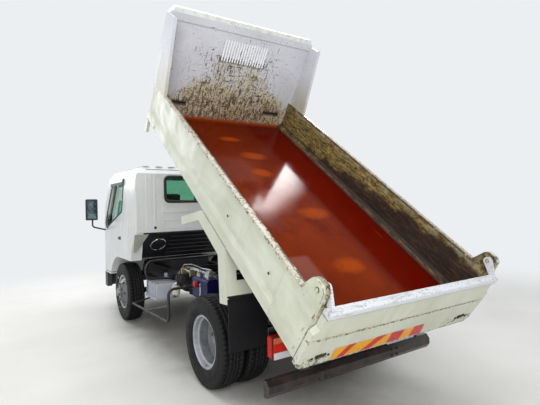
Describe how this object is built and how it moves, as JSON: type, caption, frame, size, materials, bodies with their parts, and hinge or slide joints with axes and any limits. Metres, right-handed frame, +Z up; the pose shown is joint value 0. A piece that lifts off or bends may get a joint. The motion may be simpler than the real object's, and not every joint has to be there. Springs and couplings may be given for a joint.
{
  "type": "light cab-over dump truck",
  "caption": "Light cab-over dump truck with a tipping steel bed, top-hung tailgate, tilting cab, opening doors, steering and free wheels.",
  "frame": {"origin": "on the ground, below the middle of the overall box, with the bed raised", "axes": "+X forward, +Y to the truck's left, +Z up"},
  "size_m": [5.1224, 2.18, 3.3407],
  "materials": {
    "tyre": "worn rubber",
    "wheel_steel": "silver paint, dusty",
    "glass": "clear, greenish",
    "lamp_lens": "clear",
    "red_lens": "glossy",
    "amber_lens": "glossy",
    "flap_rubber": "matt",
    "cab_paint": "gloss white",
    "floor_paint": "glossy rust red, worn",
    "bed_paint": "cream white, chipped",
    "frame_paint": "dirty cream",
    "chassis_paint": "black",
    "black_plastic": "grained",
    "bumper_plastic": "dark grey",
    "seat_vinyl": "vinyl",
    "blue_paint": "dark blue gloss",
    "white_cover": "satin",
    "cast": "dull",
    "exhaust_steel": "tarnished",
    "grey_paint": "satin",
    "rod_chrome": "polished"
  },
  "bodies": {
    "chassis": {"chassis_frame": "chassis_paint", "tipping_subframe": "chassis_paint", "front_axle": "chassis_paint", "front_springs": "chassis_paint", "rear_axle": "chassis_paint", "rear_springs": "chassis_paint", "engine": "cast", "propeller_shaft": "chassis_paint", "fuel_tank": "chassis_paint", "hydraulic_tank": "blue_paint", "battery_box": "white_cover", "exhaust": "exhaust_steel", "rear_bumper": "chassis_paint", "rear_plate": "white_cover", "front_bumper": "bumper_plastic", "tail_lamps": "red_lens", "side_guards": "grey_paint", "cab_stay": "chassis_paint"},
    "cab": {"cab_shell": "cab_paint", "windscreen": "glass", "rear_glass": "glass", "cab_floor_panel": "chassis_paint", "headlamps": "lamp_lens", "turn_lamps": "amber_lens", "dashboard": "black_plastic", "seats": "seat_vinyl", "steering_wheel": "black_plastic"},
    "door_left": {"door_left": "cab_paint", "door_glass_left": "glass", "mirror_left": "black_plastic"},
    "door_right": {"door_right": "cab_paint", "door_glass_right": "glass", "mirror_right": "black_plastic"},
    "knuckle_left": {"knuckle_left": "chassis_paint"},
    "knuckle_right": {"knuckle_right": "chassis_paint"},
    "front_wheel_left": {"front_tyre_left": "tyre", "front_wheel_left": "wheel_steel"},
    "front_wheel_right": {"front_tyre_right": "tyre", "front_wheel_right": "wheel_steel"},
    "rear_wheels_left": {"rear_tyres_left": "tyre", "rear_wheels_left": "wheel_steel"},
    "rear_wheels_right": {"rear_tyres_right": "tyre", "rear_wheels_right": "wheel_steel"},
    "bed": {"bed_floor": "floor_paint", "bed_frame": "frame_paint", "bed_side_left": "bed_paint", "bed_side_right": "bed_paint", "headboard": "bed_paint", "mudguards": "bed_paint"},
    "tailgate": {"tailgate": "bed_paint"},
    "mud_flaps": {"mud_flaps": "flap_rubber"},
    "hoist_barrel": {"hoist_barrel": "chassis_paint"},
    "hoist_rod": {"hoist_rod": "rod_chrome"}
  },
  "joints": [
    {"name": "cab_tilt", "type": "hinge", "parent": "chassis", "child": "cab", "pos_m": [2.46622, 0, 0.68], "axis": [0, 1, 0], "range_deg": [0, 45]},
    {"name": "door_left_hinge", "type": "hinge", "parent": "cab", "child": "door_left", "pos_m": [2.27322, 0.808, 1], "axis": [0, 0, -1], "range_deg": [0, 65]},
    {"name": "door_right_hinge", "type": "hinge", "parent": "cab", "child": "door_right", "pos_m": [2.27322, -0.808, 1], "axis": [0, 0, 1], "range_deg": [0, 65]},
    {"name": "steer_left", "type": "hinge", "parent": "chassis", "child": "knuckle_left", "pos_m": [1.49622, 0.6, 0.375], "axis": [0, 0, 1], "range_deg": [-35, 35]},
    {"name": "steer_right", "type": "hinge", "parent": "chassis", "child": "knuckle_right", "pos_m": [1.49622, -0.6, 0.375], "axis": [0, 0, 1], "range_deg": [-35, 35]},
    {"name": "spin_front_left", "type": "hinge", "parent": "knuckle_left", "child": "front_wheel_left", "pos_m": [1.49622, 0.7, 0.375], "axis": [0, 1, 0], "continuous": true},
    {"name": "spin_front_right", "type": "hinge", "parent": "knuckle_right", "child": "front_wheel_right", "pos_m": [1.49622, -0.7, 0.375], "axis": [0, 1, 0], "continuous": true},
    {"name": "spin_rear_left", "type": "hinge", "parent": "chassis", "child": "rear_wheels_left", "pos_m": [-1.03378, 0.6175, 0.375], "axis": [0, 1, 0], "continuous": true},
    {"name": "spin_rear_right", "type": "hinge", "parent": "chassis", "child": "rear_wheels_right", "pos_m": [-1.03378, -0.6175, 0.375], "axis": [0, 1, 0], "continuous": true},
    {"name": "bed_tip", "type": "hinge", "parent": "chassis", "child": "bed", "pos_m": [-1.88378, 0, 0.78], "axis": [0, -1, 0], "range_deg": [-36, 14]},
    {"name": "tailgate_swing", "type": "hinge", "parent": "bed", "child": "tailgate", "pos_m": [-2.50602, 0, 1.03248], "axis": [0, 1, 0], "range_deg": [0, 85]},
    {"name": "flap_hang", "type": "hinge", "parent": "bed", "child": "mud_flaps", "pos_m": [-1.50072, 0, 0.80739], "axis": [0, 1, 0], "range_deg": [-36.05, 14.05]},
    {"name": "hoist_swing", "type": "hinge", "parent": "chassis", "child": "hoist_barrel", "pos_m": [-0.53378, 0, 0.57], "axis": [0, -1, 0], "range_deg": [-3.49, 8.9]},
    {"name": "hoist_slide", "type": "slide", "parent": "hoist_barrel", "child": "hoist_rod", "axis": [-0.8677, 0, 0.4971], "range_m": [-0.2691, 0.10496]}
  ],
  "couplings": [
    {"joint": "steer_right", "follows": "steer_left", "ratio": 1},
    {"joint": "flap_hang", "follows": "bed_tip", "ratio": 1},
    {"joint": "hoist_swing", "follows": "bed_tip", "ratio": -0.24575},
    {"joint": "hoist_slide", "follows": "bed_tip", "m_per_rad": 0.42749}
  ]
}
